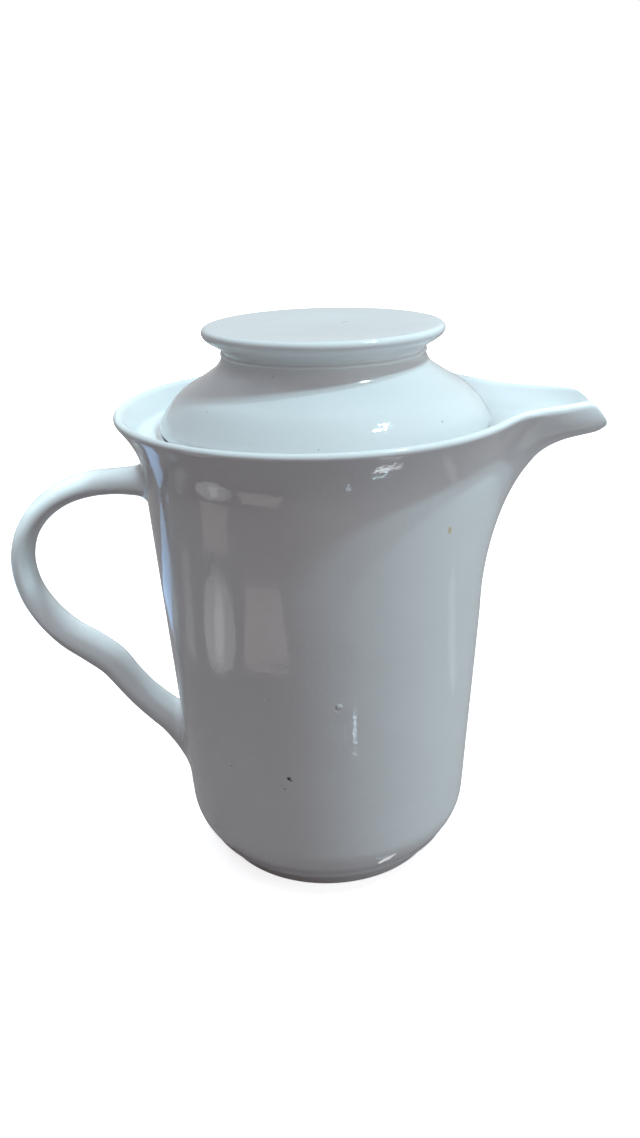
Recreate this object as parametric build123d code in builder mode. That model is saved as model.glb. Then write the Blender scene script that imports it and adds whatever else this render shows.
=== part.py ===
from build123d import *
from math import cos, exp, hypot, radians, sin, sqrt
import os

# Lidded porcelain jug, in millimetres. The axis of the round body is Z, the
# jug stands on Z = 0, the pouring lip points along +X and the handle along -X.

# Foot: the bare ring that the jug stands on
foot_height = 6.0
foot_radius = 43.3
foot_top_radius = 45.2
foot_width = 4.5
foot_edge_round = 0.8

# Body: a slightly tapered wall over a rounded bottom corner
rim_height = 174.0
wall = 4.0
floor_thickness = 5.0
bottom_radius = 46.1
corner_height = 16.5
low_radius = 54.3
taper = 0.0635
flare_height = 20.5
flare_out = 8.8
rim_round = 1.5
rim_inner_round = 1.0

# Pouring lip, pulled out of the wall. Each row is a round of the wall, given
# by its depth below the rim at the back, with the place of the lip's keel on
# that round (reach from the axis, depth below the rim) and the angle over
# which the pull fades away.
lip_rows = [
    (63.0, 59.7, 63.0, 20.0),
    (51.0, 62.2, 51.0, 19.0),
    (39.0, 66.4, 39.0, 17.5),
    (31.0, 70.3, 31.0, 16.5),
    (24.0, 75.1, 24.0, 15.5),
    (19.0, 79.6, 19.3, 14.5),
    (15.0, 84.8, 16.4, 13.5),
    (11.5, 90.0, 14.8, 12.8),
    (8.5, 95.4, 13.8, 12.3),
    (5.5, 100.4, 12.6, 12.0),
    (3.0, 103.4, 9.8, 12.2),
    (0.8, 104.4, 5.0, 12.6),
    (-2.0, 104.6, -2.0, 13.0),
]
lip_span = 42.0
lip_fade = 1.8
lip_corner_reach = 94.3
lip_tip_reach = 102.3
lip_tip_drop = 9.6
lip_corner_round = 5.0

# Lid seat: a narrow ledge inside the flare, open at the lip
seat_depth = 8.0
throat_radius = 54.5
seat_thickness = 5.0
seat_slope = 6.0
seat_gap_angle = 22.0

# Lid: a domed cover with a collar that hangs in the throat. It is loose in
# the throat by lid_play and lies lid_shift nearer to the lip. Each row of the
# dome is a point of its outline, as a radius and a height above the seat.
lid_play = 3.0
lid_shift = 2.6
lid_wall = 3.5
lid_edge_radius = 57.8
lid_edge_height = 3.5
lid_edge_round = 2.0
dome_rows = [(54.9, 8.0), (50.0, 13.0), (45.0, 16.0), (40.6, 18.8), (37.2, 21.4), (35.5, 24.2)]
dome_height = 26.7
collar_depth = 12.0
collar_wall = 3.2
collar_round = 1.2
neck_radius = 35.1

# Knob: a broad dished disc on a short hollow neck. Each row of the disc's
# edge is a point, given as the distance in from the edge and below the top.
knob_radius = 41.7
knob_height = 8.3
disc_edge_rows = [(1.2, 0.0), (0.4, 0.4), (0.0, 1.4), (0.4, 2.8), (2.0, 4.3)]
disc_dish = 0.8
disc_plate = 4.2

# Handle: each row is a section of the strap, given by how far it stands out
# from the axis, its height, its thickness and its width
handle_rows = [
    (57.0, 147.0, 16.0, 20.0),
    (62.5, 147.0, 12.0, 17.5),
    (66.0, 147.0, 10.6, 16.0),
    (71.5, 147.0, 9.4, 14.5),
    (83.0, 146.2, 8.9, 14.0),
    (93.5, 142.8, 8.5, 14.0),
    (102.3, 136.5, 8.1, 14.0),
    (108.4, 128.1, 8.1, 14.0),
    (111.2, 117.5, 8.4, 14.0),
    (109.8, 106.0, 9.0, 14.0),
    (105.0, 96.0, 10.0, 14.0),
    (97.4, 87.0, 11.0, 14.0),
    (88.8, 80.6, 11.9, 14.0),
    (81.8, 74.6, 11.8, 14.0),
    (77.0, 67.8, 11.2, 14.0),
    (72.0, 61.0, 11.2, 14.2),
    (66.2, 54.8, 11.6, 15.0),
    (60.3, 49.0, 12.0, 16.0),
    (55.6, 42.2, 11.8, 17.0),
    (52.2, 35.0, 11.2, 17.0),
    (48.4, 26.0, 10.0, 16.0),
]

# Places worked out from the sizes above
flare_start = rim_height - flare_height
corner_top = foot_height + corner_height
corner_inset = low_radius - bottom_radius
corner_radius = (corner_height**2 + corner_inset**2) / (2 * corner_inset)
floor_top = foot_height + floor_thickness
seat_level = rim_height - seat_depth
seat_root = seat_level - seat_thickness - seat_slope
gap_turn = radians(seat_gap_angle)
seat_plane = Plane(
    origin=(0, 0, 0),
    x_dir=(cos(gap_turn), sin(gap_turn), 0),
    z_dir=(sin(gap_turn), -cos(gap_turn), 0),
)
collar_radius = throat_radius - lid_play
collar_inner_radius = collar_radius - collar_wall
lid_plane = Plane(origin=(lid_shift, 0, 0), x_dir=(1, 0, 0), z_dir=(0, -1, 0))
lid_axis = Axis((lid_shift, 0, 0), (0, 0, 1))
seam_level = seat_level + dome_height
lid_top = seam_level + knob_height


def outer_radius(height):
    """Radius of the outside of the round wall at a height."""
    drop = max(0.0, corner_top - height)
    rise = max(0.0, height - corner_top)
    flare = max(0.0, height - flare_start) / flare_height
    corner = corner_radius - sqrt(corner_radius**2 - drop**2)
    return low_radius + taper * rise - corner + flare_out * flare**2


def inner_radius(height):
    """Radius of the inside of the round wall at a height."""
    drop = max(0.0, corner_top - height)
    hollow = corner_radius - wall
    return outer_radius(max(height, corner_top)) - corner_radius + sqrt(hollow**2 - drop**2)


def wall_middle(height):
    """Radius halfway through the round wall at a height."""
    return outer_radius(height) - wall / 2


def moved_in(points, distance):
    """The points of a line, each moved to the left of the line by a distance."""
    moved = []
    for i, (x, y) in enumerate(points):
        x0, y0 = points[max(i - 1, 0)]
        x1, y1 = points[min(i + 1, len(points) - 1)]
        run = hypot(x1 - x0, y1 - y0)
        moved.append((x - distance * (y1 - y0) / run, y + distance * (x1 - x0) / run))
    return moved


def round_wire(plain, keel, spread):
    """One round of the wall: two plain arcs and the spread of the lip.

    plain and keel are (radius, height) at the back and at the lip's keel.
    """

    def at(angle, reach, height):
        return (reach * cos(radians(angle)), reach * sin(radians(angle)), height)

    def on_lip(angle):
        share = exp(-((abs(angle) / spread) ** lip_fade))
        reach, height = [p + share * (k - p) for p, k in zip(plain, keel)]
        return at(angle, reach, height)

    steps = 16
    angles = [lip_span * (2 * i / steps - 1) for i in range(steps + 1)]
    ends = [at(-lip_span, *plain), at(lip_span, *plain)]
    outline = [ends[0]] + [on_lip(angle) for angle in angles[1:-1]] + [ends[1]]
    half = (180 + lip_span) / 2
    back = at(180, *plain)
    # Every round has the same spacing along its line, so that they loft cleanly
    lip = Edge.make_spline(
        [Vector(*point) for point in outline],
        tangents=[Vector(*at(90 - lip_span, 1, 0)), Vector(*at(90 + lip_span, 1, 0))],
        parameters=[i / steps for i in range(steps + 1)],
    )
    with BuildLine() as line:
        add(lip)
        ThreePointArc(outline[-1], at(half, *plain), back)
        ThreePointArc(back, at(-half, *plain), outline[0])
    return line.wire()


# Keel of the lip, from the corner up: plain wall first, then the lip's rows.
# The inside has the same keel moved in by the wall, and ends at the same level.
plain_top = rim_height - 1.25 * lip_rows[0][0]
plain_levels = [corner_top + (plain_top - corner_top) * i / 4 for i in range(5)]
lip_levels = [rim_height - depth for depth, reach, drop, spread in lip_rows]
keel = [(outer_radius(level), level) for level in plain_levels]
keel += [(reach, rim_height - drop) for depth, reach, drop, spread in lip_rows]
inner_keel = moved_in(keel, wall)
inner_keel[-1] = (inner_keel[-1][0], keel[-1][1])
spreads = [lip_rows[0][3]] * len(plain_levels) + [row[3] for row in lip_rows]

# Rounds of the outside and of the inside, from the bottom up
corner_levels = [foot_height + corner_height * i / 5 for i in range(5)]
outside = [round_wire((outer_radius(z), z), (outer_radius(z), z), spreads[0]) for z in corner_levels]
corner_levels = [floor_top + (corner_top - floor_top) * i / 4 for i in range(4)]
inside = [round_wire((inner_radius(z), z), (inner_radius(z), z), spreads[0]) for z in corner_levels]
for z, out_point, in_point, spread in zip(plain_levels + lip_levels, keel, inner_keel, spreads):
    outside.append(round_wire((outer_radius(z), z), out_point, spread))
    inside.append(round_wire((inner_radius(z), z), in_point, spread))

# The rounds of the lip aren't flat, so they are lofted as wires
jug_outside = Solid.make_loft(outside)
jug_inside = Solid.make_loft(inside)

# What is cut off above the rim: level all round, aslant at the lip
with BuildPart() as rim_cut:
    with BuildSketch(Plane.XZ) as rim_side:
        with BuildLine():
            Polyline(
                (-2 * low_radius, rim_height),
                (lip_corner_reach, rim_height),
                (lip_tip_reach, rim_height - lip_tip_drop),
                (2 * lip_tip_reach - lip_corner_reach, rim_height - 2 * lip_tip_drop),
                (2 * lip_tip_reach, rim_height - 2 * lip_tip_drop),
                (2 * lip_tip_reach, 2 * rim_height),
                (-2 * low_radius, 2 * rim_height),
                close=True,
            )
        make_face()
        corner = rim_side.vertices().sort_by_distance((lip_corner_reach, rim_height))[0]
        fillet(corner, radius=lip_corner_round)
    extrude(amount=2 * low_radius, both=True)

# Body: the outside less the inside, with a rounded rim and the lid's seat
with BuildPart() as pot_body:
    add(jug_outside)
    add(rim_cut.part, mode=Mode.SUBTRACT)
    outer_rim = pot_body.edges(Select.LAST).filter_by(GeomType.BSPLINE)
    fillet(outer_rim, radius=rim_round)
    add(jug_inside, mode=Mode.SUBTRACT)
    inner_rim = pot_body.edges(Select.LAST).filter_by(GeomType.BSPLINE)
    inner_rim = inner_rim.filter_by(lambda edge: edge.center().Z > seat_level - wall)
    fillet(inner_rim, radius=rim_inner_round)
    with BuildSketch(seat_plane):
        with BuildLine():
            Polyline(
                (throat_radius, seat_level),
                (wall_middle(seat_level), seat_level),
                (wall_middle(seat_root), seat_root),
                (throat_radius, seat_level - seat_thickness),
                close=True,
            )
        make_face()
    revolve(axis=Axis.Z, revolution_arc=360 - 2 * seat_gap_angle)

# Foot ring: stands under the bottom of the body and is bare of glaze
with BuildPart() as foot_ring:
    with BuildSketch(Plane.XZ):
        with BuildLine():
            Polyline(
                (foot_radius - foot_width, 0),
                (foot_radius, 0),
                (foot_top_radius, foot_height),
                (foot_radius - foot_width, foot_height),
                close=True,
            )
        make_face()
    revolve(axis=Axis.Z)
    fillet(foot_ring.edges().group_by(Axis.Z)[0], radius=foot_edge_round)

# Handle: a strap lofted through its sections and ended on the body's wall
centres = [(-out, height) for out, height, thickness, width in handle_rows]
with BuildPart() as handle:
    for i, (out, height, thickness, width) in enumerate(handle_rows):
        x0, z0 = centres[max(i - 1, 0)]
        x1, z1 = centres[min(i + 1, len(centres) - 1)]
        across = Plane(origin=(-out, 0, height), x_dir=(0, 1, 0), z_dir=(x1 - x0, 0, z1 - z0))
        with BuildSketch(across):
            Ellipse(width / 2, thickness / 2)
    loft()
    add(jug_outside, mode=Mode.SUBTRACT)

# Lid dome: the cover, a shell open below
dome_line = [(lid_edge_radius, lid_edge_height)] + dome_rows + [(neck_radius, dome_height)]
dome_line = [(radius, seat_level + height) for radius, height in dome_line]
inner_line = moved_in(dome_line, lid_wall)
hollow_line = [(min(radius, collar_inner_radius), height) for radius, height in inner_line[1:-1]]
hollow_line.append((neck_radius - lid_wall, seam_level))
with BuildPart() as lid_dome:
    with BuildSketch(lid_plane):
        with BuildLine():
            Spline(*dome_line)
            Line(dome_line[-1], hollow_line[-1])
            Spline(*reversed(hollow_line))
            Line(hollow_line[0], (collar_inner_radius, seat_level))
            Line((collar_inner_radius, seat_level), (lid_edge_radius, seat_level))
            Line((lid_edge_radius, seat_level), dome_line[0])
        make_face()
    revolve(axis=lid_axis)
    edge = lid_dome.edges().group_by(Axis.Z)[0].sort_by(SortBy.LENGTH)[-1]
    fillet(edge, radius=lid_edge_round)

# Lid flange: the collar that keeps the lid in the throat
with BuildPart() as lid_flange:
    with BuildSketch(lid_plane):
        with Locations(((collar_radius + collar_inner_radius) / 2, seat_level - collar_depth / 2)):
            Rectangle(collar_wall, collar_depth)
    revolve(axis=lid_axis)
    fillet(lid_flange.edges().group_by(Axis.Z)[0], radius=collar_round)

# Lid knob: the disc and its neck
disc_edge = [(knob_radius - inset, lid_top - below) for inset, below in disc_edge_rows]
disc_centre = (0, lid_top - disc_dish)
with BuildPart() as lid_knob:
    with BuildSketch(lid_plane):
        with BuildLine():
            Spline(disc_centre, disc_edge[0], tangents=[(1, 0), (1, 0)])
            Spline(*disc_edge, tangents=[(1, 0), (-1, -0.6)])
            Spline(disc_edge[-1], (neck_radius, seam_level), tangents=[(-1, -0.6), (0, -1)])
            Polyline(
                (neck_radius, seam_level),
                (neck_radius - lid_wall, seam_level),
                (neck_radius - lid_wall, lid_top - disc_plate),
                (0, lid_top - disc_plate),
                disc_centre,
            )
        make_face()
    revolve(axis=lid_axis)

# Each piece goes to a file of its own
os.makedirs("parts", exist_ok=True)
pot_body.part.label = "pot_body"
foot_ring.part.label = "foot_ring"
handle.part.label = "handle"
lid_dome.part.label = "lid_dome"
lid_flange.part.label = "lid_flange"
lid_knob.part.label = "lid_knob"
export_step(pot_body.part, "parts/pot_body.step")
export_step(foot_ring.part, "parts/foot_ring.step")
export_step(handle.part, "parts/handle.step")
export_step(lid_dome.part, "parts/lid_dome.step")
export_step(lid_flange.part, "parts/lid_flange.step")
export_step(lid_knob.part, "parts/lid_knob.step")
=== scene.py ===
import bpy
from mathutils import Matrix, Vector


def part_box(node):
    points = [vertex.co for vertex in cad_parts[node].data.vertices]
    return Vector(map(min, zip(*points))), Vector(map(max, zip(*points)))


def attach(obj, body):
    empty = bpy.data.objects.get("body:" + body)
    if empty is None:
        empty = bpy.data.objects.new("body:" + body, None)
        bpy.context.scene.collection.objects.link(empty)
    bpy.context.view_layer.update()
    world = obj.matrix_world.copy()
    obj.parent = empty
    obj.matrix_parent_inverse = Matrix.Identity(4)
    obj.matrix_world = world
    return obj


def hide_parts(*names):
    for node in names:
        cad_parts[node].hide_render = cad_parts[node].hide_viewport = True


bl_info = {
    "name": "Lidded Porcelain Jug",
    "version": (1, 0, 0),
    "blender": (4, 5, 0),
    "location": "3D View > Sidebar > Jug",
    "description": "Dresses a lidded porcelain jug: its glazed pot, foot, handle and loose lid",
    "category": "Add Mesh",
}

from math import atan, cos, degrees, exp, hypot, pi, radians, sin, sqrt, tan

import bmesh
import bpy
import numpy as np
from bpy.props import FloatProperty, FloatVectorProperty, IntProperty, PointerProperty
from mathutils import Matrix, Vector

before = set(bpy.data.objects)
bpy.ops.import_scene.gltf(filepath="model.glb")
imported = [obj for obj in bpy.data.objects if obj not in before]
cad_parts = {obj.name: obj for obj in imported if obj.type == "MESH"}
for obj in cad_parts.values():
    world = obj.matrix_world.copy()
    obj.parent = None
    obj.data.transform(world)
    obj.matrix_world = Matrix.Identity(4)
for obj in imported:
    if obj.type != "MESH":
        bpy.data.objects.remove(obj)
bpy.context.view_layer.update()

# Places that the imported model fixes, in metres
FOOT_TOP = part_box("foot_ring")[1].z
FOOT_TOP_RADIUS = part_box("foot_ring")[1].y
RIM_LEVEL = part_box("pot_body")[1].z
SEAT_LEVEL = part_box("lid_dome")[0].z
SEAM_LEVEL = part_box("lid_dome")[1].z
LID_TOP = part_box("lid_knob")[1].z
LID_X = (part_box("lid_dome")[0].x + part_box("lid_dome")[1].x) / 2
LID_EDGE_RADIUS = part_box("lid_dome")[1].y
COLLAR_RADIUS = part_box("lid_flange")[1].y
COLLAR_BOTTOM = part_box("lid_flange")[0].z
KNOB_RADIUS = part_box("lid_knob")[1].y
MM = 0.001

# Faces that meet at less than this angle are shaded as one surface
SMOOTH_ANGLE = radians(50)

# Decimals of a coordinate by which a point is found again
DIGITS = 9

# Pouring lip. Each row is a round of the wall in millimetres: its depth below
# the rim at the back, the lip's keel on that round (reach from the axis, depth
# below the rim), and the angle over which the pull fades away.
LIP_ROWS = [
    (63.0, 59.7, 63.0, 20.0),
    (51.0, 62.2, 51.0, 19.0),
    (39.0, 66.4, 39.0, 17.5),
    (31.0, 70.3, 31.0, 16.5),
    (24.0, 75.1, 24.0, 15.5),
    (19.0, 79.6, 19.3, 14.5),
    (15.0, 84.8, 16.4, 13.5),
    (11.5, 90.0, 14.8, 12.8),
    (8.5, 95.4, 13.8, 12.3),
    (5.5, 100.4, 12.6, 12.0),
    (3.0, 103.4, 9.8, 12.2),
    (0.8, 104.4, 5.0, 12.6),
    (-2.0, 104.6, -2.0, 13.0),
]

# Dome of the lid: radius and height above the seat, in millimetres
DOME_ROWS = [(54.9, 8.0), (50.0, 13.0), (45.0, 16.0), (40.6, 18.8), (37.2, 21.4), (35.5, 24.2)]

# Edge of the knob's disc: distance in from its edge and below its top
DISC_EDGE_ROWS = [(1.9, 0.0), (1.0, 0.2), (0.3, 0.8), (0.0, 1.7), (0.4, 2.9), (2.0, 4.3)]

# Bead that the body's wall ends in above the foot: radius and height over the foot's top
BOTTOM_BEAD = [
    (46.4, 0.0), (47.3, 0.22), (48.2, 0.8), (48.85, 1.6), (49.25, 2.4), (49.65, 3.2)
]

# Bead of glaze round the seam under the knob: distance out from the neck and down from the seam
SEAM_BEAD = [(0.1, 1.4), (0.34, 1.1), (0.52, 0.8), (0.48, 0.5), (0.28, 0.2), (0.0, 0.0)]

# Neck under the knob's disc: radius and distance below the disc's top
NECK_ROWS = [(37.4, 5.7), (35.6, 7.1)]

# Strap of the handle: distance from the axis, height, thickness and width
HANDLE_ROWS = [
    (57.0, 147.0, 16.0, 20.0),
    (62.5, 147.0, 12.0, 17.5),
    (66.0, 147.0, 10.6, 16.0),
    (71.5, 147.0, 9.4, 14.5),
    (83.0, 146.2, 8.9, 14.0),
    (93.5, 142.8, 8.5, 14.0),
    (102.3, 136.5, 8.1, 14.0),
    (108.4, 128.1, 8.1, 14.0),
    (111.2, 117.5, 8.4, 14.0),
    (109.8, 106.0, 9.0, 14.0),
    (105.0, 96.0, 10.0, 14.0),
    (97.4, 87.0, 11.0, 14.0),
    (88.8, 80.6, 11.9, 14.0),
    (81.8, 74.6, 11.8, 14.0),
    (77.0, 67.8, 11.2, 14.0),
    (72.0, 61.0, 11.2, 14.2),
    (66.2, 54.8, 11.6, 15.0),
    (60.3, 49.0, 12.0, 16.0),
    (55.6, 42.2, 11.8, 17.0),
    (52.2, 35.0, 11.2, 17.0),
    (48.4, 26.0, 10.0, 16.0),
]

# Points along the strap between its two joints with the wall
STRAP_POINTS = 130

# Plain rows of the wall between its bottom corner and the lip, and how many
# times deeper than the lip's lowest row they end
PLAIN_ROWS = 5
PLAIN_MARGIN = 1.25

# Points along the stretches of the pot's section
UNDER_POINTS = 6
OUTSIDE_POINTS = 84
THROAT_POINTS = 12
INSIDE_POINTS = 44
FLOOR_POINTS = 8

# Radius of the last ring before the floor and the underside close on the axis,
# the floor's first ring as a share of its radius, and the gaps kept beside
# the bead above the foot and beside a rounded edge
LAST_RING = 3 * MM
FLOOR_START = 0.97
BEAD_GAP = 0.5 * MM
EDGE_GAP = 0.15 * MM

# The most of the rim's top that its outer and inner roundings take, and their points
OUTER_SHARE = 0.82
INNER_SHARE = 0.16
OUTER_POINTS = 9
INNER_POINTS = 6


def length(name, description, millimetres):
    """A length property, given in millimetres and kept in metres."""
    return FloatProperty(name=name, description=description, default=millimetres * MM, unit="LENGTH")


def angle(name, description, turn):
    """An angle property, given in degrees."""
    return FloatProperty(name=name, description=description, default=radians(turn), subtype="ANGLE")


def power(name, description, watts):
    """The power of a lamp, in watts."""
    return FloatProperty(name=name, description=description, default=watts, unit="POWER")


def colour(name, description, value):
    """A colour property."""
    return FloatVectorProperty(
        name=name, description=description, default=value, subtype="COLOR", size=3, min=0, max=1
    )


class JugPotSizes(bpy.types.PropertyGroup):
    """Sizes of the pot's wall, lip, ledge and foot."""

    wall: length("Wall", "Thickness of the wall", 4.0)
    floor: length("Floor", "Thickness of the floor", 5.0)
    bottom_radius: length("Bottom radius", "Radius where the body meets its foot", 46.1)
    bead_height: length("Bead height", "Height at which the body's lowest bead starts", 3.8)
    corner_height: length("Corner height", "Height of the rounded bottom corner", 16.5)
    low_radius: length("Low radius", "Radius just above the bottom corner", 54.3)
    taper: FloatProperty(name="Taper", description="How fast the body widens upwards", default=0.0635)
    flare_height: length("Flare height", "Height of the flare under the rim", 20.5)
    flare_out: length("Flare", "How far the rim flares out", 8.8)
    rim_round: length("Rim rounding", "Rounding of the rim's outer edge", 1.95)
    rim_inner_round: length("Inner rim rounding", "Rounding of the rim's inner edge", 1.0)
    lip_span: angle("Lip span", "Half the angle that the lip's pull reaches over", 42.0)
    lip_fade: FloatProperty(name="Lip fade", description="How sharply the pull fades", default=1.8)
    corner_reach: length("Lip corner", "Distance at which the lip's cut starts", 94.3)
    tip_reach: length("Lip tip", "Distance of the lip's tip", 102.3)
    tip_drop: length("Lip drop", "Height of the lip's slanted cut", 9.6)
    corner_round: length("Lip corner rounding", "Rounding where the cut starts", 5.0)
    throat_radius: length("Throat radius", "Radius inside the lid's ledge", 54.5)
    ledge: length("Ledge", "Thickness of the lid's ledge", 5.0)
    ledge_slope: length("Ledge slope", "Height of the slope under the ledge", 6.0)
    ledge_round: length("Ledge rounding", "Rounding of the ledge's edges", 1.0)
    ledge_corner: length("Ledge corner", "Rounding where the ledge meets the wall", 1.5)
    ledge_gap: angle("Ledge gap", "Half the angle left open behind the lip", 22.0)
    ledge_fade: angle("Ledge fade", "Angle over which the ledge's ends run out", 2.5)
    foot_radius: length("Foot radius", "Radius of the foot where it stands", 43.3)
    foot_width: length("Foot width", "Width of the foot ring", 4.5)
    foot_round: length("Foot rounding", "Rounding of the foot's lower edges", 0.8)


class JugHandleSizes(bpy.types.PropertyGroup):
    """Sizes of the handle's joints with the wall."""

    top_fillet: length("Top fillet", "Rounding where the handle leaves the wall", 4.0)
    tail_fillet: length("Tail fillet", "Rounding where the handle's tail meets the wall", 6.0)
    sunk: length("Sunk", "How far the handle's ends reach into the wall", 1.5)
    sides: IntProperty(name="Sides", description="Points round the strap", default=48, min=12)


class JugLidSizes(bpy.types.PropertyGroup):
    """Sizes of the lid."""

    wall: length("Lid wall", "Thickness of the lid", 3.5)
    edge_height: length("Lid edge", "Height of the upright edge of the lid", 3.5)
    edge_round: length("Lid edge rounding", "Rounding under the lid's edge", 2.0)
    collar_wall: length("Collar wall", "Thickness of the collar", 3.2)
    collar_round: length("Collar rounding", "Rounding of the collar's lower edges", 1.2)
    neck_radius: length("Neck radius", "Radius of the waist under the knob", 35.1)
    dish: length("Dish", "Depth of the hollow in the disc", 0.8)
    plate: length("Plate", "Depth of the disc's underside below its top", 4.2)
    steps: IntProperty(name="Steps", description="Steps round the spun pieces", default=192, min=24)


class JugColours(bpy.types.PropertyGroup):
    """Colours of the clay and its glaze."""

    glaze: colour("Glaze", "Colour of the glaze", (0.80, 0.805, 0.81))
    # Thin glaze over edges; the same whiter colour is also laid on as painted highlights, on small marks
    # and on the lid's seam band
    thin: colour("Thin glaze", "Colour where the glaze runs thin over an edge", (0.92, 0.93, 0.93))
    clay: colour("Bare clay", "Colour of the unglazed foot", (0.75, 0.735, 0.735))
    gloss: FloatProperty(name="Gloss", description="Roughness of the glaze", default=0.045, min=0, max=1)
    iron: colour("Iron speck", "Colour of the dark specks", (0.03, 0.025, 0.02))
    rust: colour("Rust speck", "Colour of the yellowish speck", (0.7, 0.48, 0.2))
    floor: colour("Floor", "Colour of the floor as the camera sees it", (0.9, 0.9, 0.9))
    table: colour("Table", "Colour of the floor in the jug's own light", (0.275, 0.222, 0.222))


class JugStage(bpy.types.PropertyGroup):
    """Camera and light."""

    camera_distance: length("Camera distance", "Distance of the camera in front of the axis", 348.27)
    camera_height: length("Camera height", "Height of the camera above the floor", 250.49)
    camera_turn: angle("Camera turn", "Turn of the camera to the right", -0.12)
    camera_pitch: angle("Camera pitch", "Downward tilt of the camera", 21.91)
    camera_roll: angle("Camera roll", "Roll of the camera", -1.61)
    key_turn: angle("Key turn", "Direction of the key light round the jug", -20.0)
    key_height: angle("Key height", "Angle of the key light above the horizon", 62.0)
    key_distance: length("Key distance", "Distance of the key light", 1600.0)
    key_tint: colour("Key tint", "Colour of the key light", (0.63, 0.92, 1.0))
    key_power: power("Key power", "Power of the key light", 17.0)
    side_power: power("Side power", "Power of the fill from the side", 5.0)
    front_power: power("Front power", "Power of the fill from the front", 2.0)
    sky_power: power("Sky power", "Power of the fill from above", 4.0)
    back_power: power("Back power", "Power of the fill from behind", 4.0)
    camera_lens: FloatProperty(name="Lens", description="Focal length in millimetres", default=31.634)


def bottom_corner():
    """The wall's bottom corner: the height where it ends and the radius of its bend."""
    pot = bpy.context.scene.jug_pot
    inset = pot.low_radius - pot.bottom_radius
    return FOOT_TOP + pot.corner_height, (pot.corner_height**2 + inset**2) / (2 * inset)


def outer_radius(height):
    """Radius of the outside of the round wall at a height."""
    pot = bpy.context.scene.jug_pot
    corner_top, bend = bottom_corner()
    drop = max(0.0, corner_top - height)
    rise = max(0.0, height - corner_top)
    flare = max(0.0, height - RIM_LEVEL + pot.flare_height) / pot.flare_height
    corner = bend - sqrt(max(0.0, bend**2 - drop**2))
    return pot.low_radius + pot.taper * rise - corner + pot.flare_out * flare**2


def inner_radius(height):
    """Radius of the inside of the round wall at a height."""
    corner_top, bend = bottom_corner()
    drop = max(0.0, corner_top - height)
    corner = sqrt(max(0.0, (bend - bpy.context.scene.jug_pot.wall) ** 2 - drop**2))
    return outer_radius(max(height, corner_top)) - bend + corner


def moved_in(points, distance):
    """The points of a line, each moved to the left of the line by a distance."""
    moved = []
    for i, (x, y) in enumerate(points):
        x0, y0 = points[max(i - 1, 0)]
        x1, y1 = points[min(i + 1, len(points) - 1)]
        run = hypot(x1 - x0, y1 - y0)
        moved.append((x - distance * (y1 - y0) / run, y + distance * (x1 - x0) / run))
    return moved


def through(points, per_span):
    """A smooth line through points, as an array with per_span steps from each to the next."""
    points = np.array(points, float)
    steps = np.linalg.norm(np.diff(points, axis=0), axis=1)
    place = np.concatenate([[0], np.cumsum(steps)])
    slopes = np.gradient(points, place, axis=0)
    line = []
    for i, step in enumerate(steps):
        t = np.linspace(0, 1, per_span, endpoint=False)[:, None]
        start, end = points[i], points[i + 1]
        rise, fall = slopes[i] * step, slopes[i + 1] * step
        line.append(
            (2 * t**3 - 3 * t**2 + 1) * start
            + (t**3 - 2 * t**2 + t) * rise
            + (3 * t**2 - 2 * t**3) * end
            + (t**3 - t**2) * fall
        )
    line.append(points[-1:])
    return np.concatenate(line)


def evenly(line, count):
    """count points spaced evenly along a line."""
    place = np.concatenate([[0], np.cumsum(np.linalg.norm(np.diff(line, axis=0), axis=1))])
    wanted = np.linspace(0, place[-1], count)
    return np.stack([np.interp(wanted, place, line[:, k]) for k in range(line.shape[1])], axis=1)


def arc_between(start, corner, end, radius, most, count):
    """A corner of two straight lines rounded to a radius: its points from start's side to end's.

    most is the longest part of the line towards end that the rounding may take.
    """
    corner = np.array(corner, float)
    back = np.array(start, float) - corner
    ahead = np.array(end, float) - corner
    back, ahead = back / np.linalg.norm(back), ahead / np.linalg.norm(ahead)
    half = np.arccos(np.clip(back @ ahead, -0.999, 0.999)) / 2
    reach = min(radius / tan(half), most)
    radius = reach * tan(half)
    middle = back + ahead
    centre = corner + middle / np.linalg.norm(middle) * radius / sin(half)
    first, last = corner + back * reach - centre, corner + ahead * reach - centre
    turn = pi - 2 * half
    t = np.linspace(0, 1, count)[:, None]
    return centre + (np.sin((1 - t) * turn) * first + np.sin(t * turn) * last) / sin(turn)


def bend_between(start, corner, end, count):
    """A rounded corner: count points from start to end, drawn towards corner."""
    start, corner, end = [np.array(p, float) for p in (start, corner, end)]
    t = np.linspace(0, 1, count)[:, None]
    return (1 - t) ** 2 * start + 2 * t * (1 - t) * corner + t**2 * end


def towards(start, end, distance):
    """The point at a distance from start on the way to end."""
    start, end = np.array(start, float), np.array(end, float)
    return start + (end - start) * distance / np.linalg.norm(end - start)


def rounded_outline(corners, count=8):
    """A line of (radius, height) points through corners of (radius, height, rounding)."""
    line = []
    for i, (radius, height, rounding) in enumerate(corners):
        here = (radius, height)
        if rounding == 0 or i in (0, len(corners) - 1):
            line.append(here)
            continue
        before = towards(here, corners[i - 1][:2], rounding)
        after = towards(here, corners[i + 1][:2], rounding)
        line.extend(tuple(p) for p in bend_between(before, here, after, count))
    return line


def rim_level_at(x):
    """Height at which the rim is cut: level all round, and aslant at the lip."""
    pot = bpy.context.scene.jug_pot
    slope = pot.tip_drop / (pot.tip_reach - pot.corner_reach)
    turn = atan(slope)
    start = pot.corner_reach - pot.corner_round * tan(turn / 2)
    end = start + pot.corner_round * sin(turn)
    if x <= start:
        return RIM_LEVEL
    if x < end:
        return RIM_LEVEL - pot.corner_round + sqrt(pot.corner_round**2 - (x - start) ** 2)
    return RIM_LEVEL - (x - pot.corner_reach) * slope


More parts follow.
